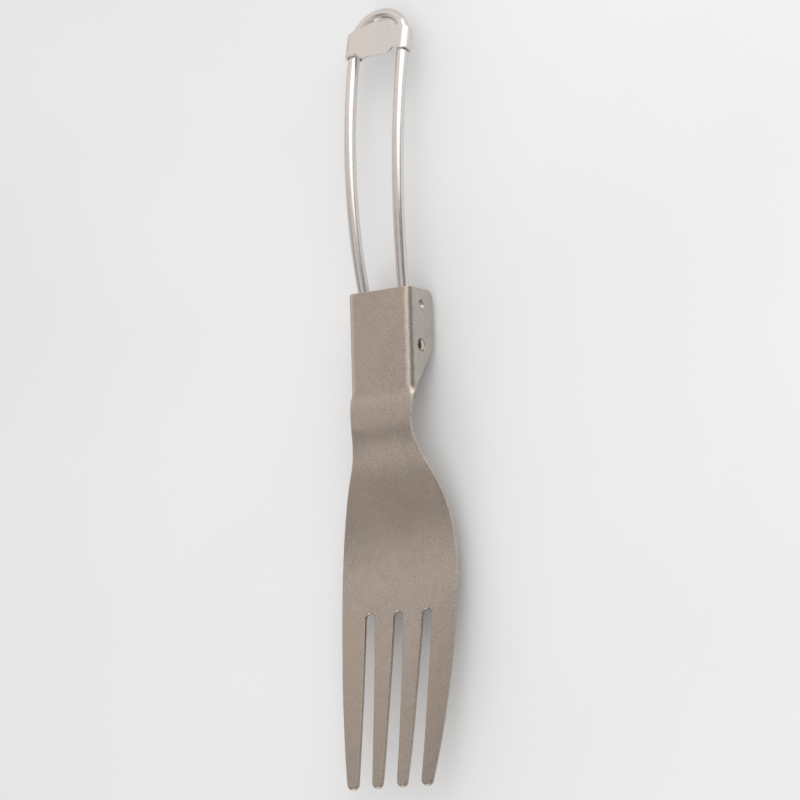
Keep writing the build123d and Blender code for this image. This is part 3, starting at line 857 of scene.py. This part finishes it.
def metal(name, base, dark, light, rough, grain, streak, edge_gain, bump_um, blast,
          tone_and_painted_light=None, painted_end_shading=None):
    """Worked titanium. grain and streak are wavelengths in mm; blast 1 is fully blasted (even
    grain), less is drawn or brushed (lines along the piece). The two optional colouring steps,
    the last two arguments, run before and after the wire caps are darkened; both paint highlights
    and shade."""
    drawn = 1.15 - blast
    mat = bpy.data.materials.new(name)
    k = Kit(mat)
    p = k.attr("flat", "Vector")
    edge = k.attr("edge", "Fac")
    cap = k.attr("cap", "Fac")

    fine = k.noise(p, scale=1 / grain, rough=0.55)
    mid = k.noise(p, scale=1 / (grain * 5), rough=0.55)
    cloud = k.noise(p, scale=0.085)
    line_stretch, scratch_stretch = (0.09, 1.0, 1.0), (0.05, 1.0, 0.6)
    lines = k.noise(k.vmath("MULTIPLY", p, line_stretch), scale=1 / streak, detail=3.0, rough=0.6)
    scratch = k.noise(k.vmath("MULTIPLY", p, scratch_stretch), scale=5.2, detail=1.0,
                      distort=0.25)
    patch = k.ramp(k.noise(p, scale=0.21, detail=1.0), over=(0.5, 0.66))
    scratch = k.times(k.ramp(scratch, over=(0.735, 0.80)), patch)
    wear = k.times(k.ramp(edge, over=(0.2, 0.95)),
                   k.ramp(k.noise(p, scale=0.9), over=(0.30, 0.62), to=(0.45, 1.0)))

    tone = k.vary(fine, gain=1.7 * blast, onto=0.5)
    tone = k.vary(mid, gain=0.55, onto=tone)
    tone = k.vary(cloud, gain=0.45, onto=tone)
    tone = k.vary(lines, gain=0.6 * drawn, onto=tone, clamp=True)
    colour = k.mix(tone, dark, light)
    colour = k.mix(0.35, colour, base)       # evened out towards the base colour
    warm_tint = (1.05, 0.99, 0.93)
    warm = k.ramp(k.noise(p, scale=0.045), over=(0.40, 0.65), to=(0.0, 0.35))
    colour = k.mix(warm, colour, (*[c * f for c, f in zip(base, warm_tint)], 1.0))
    colour = k.mix(k.times(scratch, 0.5), colour, light)
    colour = k.mix(k.times(wear, edge_gain), colour, light)
    if tone_and_painted_light:
        colour = tone_and_painted_light(k, p, mid, colour)
    colour = k.vmath("SCALE", colour, k.scaled(cap, gain=-0.30, onto=1.0))
    if painted_end_shading:
        colour = painted_end_shading(k, p, edge, cap, colour)

    r = k.vary(fine, gain=0.16 * blast, onto=rough)
    r = k.vary(lines, gain=0.16 * drawn, onto=r)
    r = k.vary(cloud, gain=0.10, onto=r)
    r = k.scaled(wear, gain=-0.35 * rough, onto=r)
    r = k.scaled(scratch, gain=-0.06, onto=r)
    r = k.scaled(cap, gain=0.22, onto=r)
    height = k.scaled(fine, gain=blast, onto=k.times(lines, 0.9 * drawn))
    height = k.scaled(k.noise(p, scale=2.2 / grain), gain=0.35 * blast, onto=height)
    height = k.scaled(scratch, gain=-0.5, onto=height)
    k.output("ShaderNodeOutputMaterial",
             k.surface(height, strength=1.0, distance=bump_um * 1e-6, Base_Color=colour,
                       Metallic=1.0, Roughness=r))
    return mat


m_head = metal("blasted_titanium_sheet", base=rgb(190, 179, 168), dark=rgb(160, 150, 140),
               light=rgb(216, 206, 196), rough=0.35, grain=0.42, streak=0.55, edge_gain=0.25,
               bump_um=13.0, blast=1.0, tone_and_painted_light=head_tone_and_painted_light)
m_wire = metal("polished_titanium_wire", base=rgb(220, 217, 215), dark=rgb(196, 192, 189),
               light=rgb(240, 237, 235), rough=0.20, grain=0.16, streak=0.20, edge_gain=0.4,
               bump_um=1.8, blast=0.25, painted_end_shading=wire_end_painted_light)
m_lock = metal("satin_titanium_strip", base=rgb(217, 214, 211), dark=rgb(201, 198, 195),
               light=rgb(233, 231, 228), rough=0.26, grain=0.18, streak=0.30, edge_gain=0.5,
               bump_um=2.8, blast=0.4)
for ob, mat, body, node, slot in (
        (head, m_head, "head", "fork_head", "blasted_titanium_sheet"),
        (wire, m_wire, "handle", "wire_handle", "polished_titanium_wire"),
        (lock, m_lock, "lock", "slide_lock", "satin_titanium_strip")):
    ob.data.materials.append(mat)
    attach(ob, body)
    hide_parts(node)

# ------------------------------------------------------------------ floor
FLOOR_Z = -10.32 * MM                     # just clear of the folded handle
FLOOR_R = 1.6                             # metres
FLOOR_X = 0.01
FLOOR_SIDES = 48


def floor_material():
    mat = bpy.data.materials.new("pale_floor")
    k = Kit(mat)
    place = k.node("ShaderNodeTexCoord").outputs["Object"]
    soft = k.ramp(k.noise(place, scale=9.0, detail=3.0), over=(0.3, 0.7))
    colour = k.mix(soft, rgb(234, 238, 240), rgb(239, 242, 244))
    surface = k.surface(k.noise(place, scale=900.0), strength=0.25, distance=0.0001,
                        Base_Color=colour, Roughness=0.8, Specular_IOR_Level=0.2)
    # seen from below the floor is clear, so the underside of the fork can be looked at
    see = k.node("ShaderNodeMixShader")
    k.put(see.inputs[0], k.node("ShaderNodeNewGeometry").outputs["Backfacing"])
    k.put(see.inputs[1], surface)
    k.put(see.inputs[2], k.node("ShaderNodeBsdfTransparent").outputs[0])
    k.output("ShaderNodeOutputMaterial", see.outputs[0])
    return mat


floor_mesh = bpy.data.meshes.new("floor")
turns = [2 * math.pi * i / FLOOR_SIDES for i in range(FLOOR_SIDES)]
floor_mesh.from_pydata([(FLOOR_R * math.cos(a) + FLOOR_X, FLOOR_R * math.sin(a), FLOOR_Z)
                        for a in turns], [], [tuple(range(FLOOR_SIDES))])
floor = bpy.data.objects.new("floor", floor_mesh)
bpy.context.scene.collection.objects.link(floor)
floor_mesh.materials.append(floor_material())

# ------------------------------------------------------------------ camera
# the camera's own axes in the fork's frame, and its place in mm
CAMERA_RIGHT = (0.02882135, 0.83134395, -0.55501042)
CAMERA_UP = (-0.98707427, 0.11124087, 0.11536832)
CAMERA_BACK = (0.15765060, 0.54451144, 0.82380434)
CAMERA_AT = (138.11036709, 441.07072246, 660.10690757)

cam_data = bpy.data.cameras.new("camera")
cam = bpy.data.objects.new("camera", cam_data)
bpy.context.scene.collection.objects.link(cam)
cam_data.sensor_width = 36.0
cam_data.sensor_fit = "HORIZONTAL"
cam_data.lens = 174.13043
cam_data.clip_start = 0.02
cam_data.clip_end = 20
cam.matrix_world = Matrix(
    [(right, up, back, at * MM)
     for right, up, back, at in zip(CAMERA_RIGHT, CAMERA_UP, CAMERA_BACK, CAMERA_AT)]
    + [(0, 0, 0, 1)])
bpy.context.scene.camera = cam
view = bpy.context.scene.view_settings
view.view_transform = "Standard"
view.look = "None"
view.exposure = 0.0

# ------------------------------------------------------------------ lights


def softbox(name, aim, direction, distance, radius, level, colour, mirrored=True):
    """A round soft light of a given brightness, aimed at a point (metres)."""
    light = bpy.data.lights.new(name, "AREA")
    light.shape = "DISK"
    light.size = 2 * radius
    light.energy = level * math.pi * math.pi * radius**2
    light.color = colour
    ob = bpy.data.objects.new(name, light)
    d = Vector(direction).normalized()
    ob.location = Vector(aim) + d * distance
    ob.rotation_mode = "QUATERNION"
    ob.rotation_quaternion = (-d).to_track_quat("-Z", "Y")
    ob.visible_glossy = mirrored
    bpy.context.scene.collection.objects.link(ob)


softbox("window", aim=(-0.05, 0, 0), direction=(-0.60, 0.62, 0.50), distance=0.42, radius=0.28,
        level=1.17, colour=(1.0, 0.975, 0.955))
softbox("front", aim=(0.05, 0, 0), direction=(0.86, -0.32, 0.35), distance=0.60, radius=0.20,
        level=2.20, colour=(1.0, 0.97, 0.95))
softbox("overhead", aim=(0.01, 0, 0), direction=(0.25, 0.30, 0.92), distance=0.80, radius=0.36,
        level=0.75, colour=(1.0, 1.0, 1.0), mirrored=False)

# ------------------------------------------------------------------ world


def studio_world():
    """A pale room: brighter towards -X, dim low down, with a dark +Y wall and a dark round
    patch overhead."""
    world = bpy.data.worlds.new("studio")
    bpy.context.scene.world = world
    k = Kit(world)
    direction = k.node("ShaderNodeTexCoord").outputs["Generated"]
    dx, dy, dz = k.split(direction)
    level = k.ramp(dx, over=(0.0, -0.62), to=(0.70, 0.93))
    level = k.times(level, k.ramp(dy, over=(0.35, 0.72), to=(1.0, 0.44)))
    level = k.times(level, k.ramp(dz, over=(-0.05, 0.35), to=(0.62, 1.0)))
    patch_dir = Vector((0.19, -0.55, 0.81)).normalized()
    patch = k.vmath("DOT_PRODUCT", direction, patch_dir)
    level = k.times(level, k.ramp(patch, over=(0.915, 0.985), to=(1.0, 0.50)))
    # warm on the -Y side, cooler on the +Y side
    cool = k.ramp(dy, over=(-0.35, 0.35))
    lit = k.node("ShaderNodeCombineColor")
    k.put(lit.inputs[0], level)
    k.put(lit.inputs[1], k.times(level, k.scaled(cool, gain=0.04, onto=0.935)))
    k.put(lit.inputs[2], k.times(level, k.scaled(cool, gain=0.045, onto=0.91)))
    # the camera sees a plain grey instead
    seen = k.node("ShaderNodeLightPath").outputs["Is Camera Ray"]
    backdrop = (0.78, 0.78, 0.775, 1)
    background = k.node("ShaderNodeBackground")
    k.put(background.inputs[0], k.mix(seen, lit.outputs[0], backdrop))
    background.inputs[1].default_value = 1.0
    k.output("ShaderNodeOutputWorld", background.outputs[0])


studio_world()
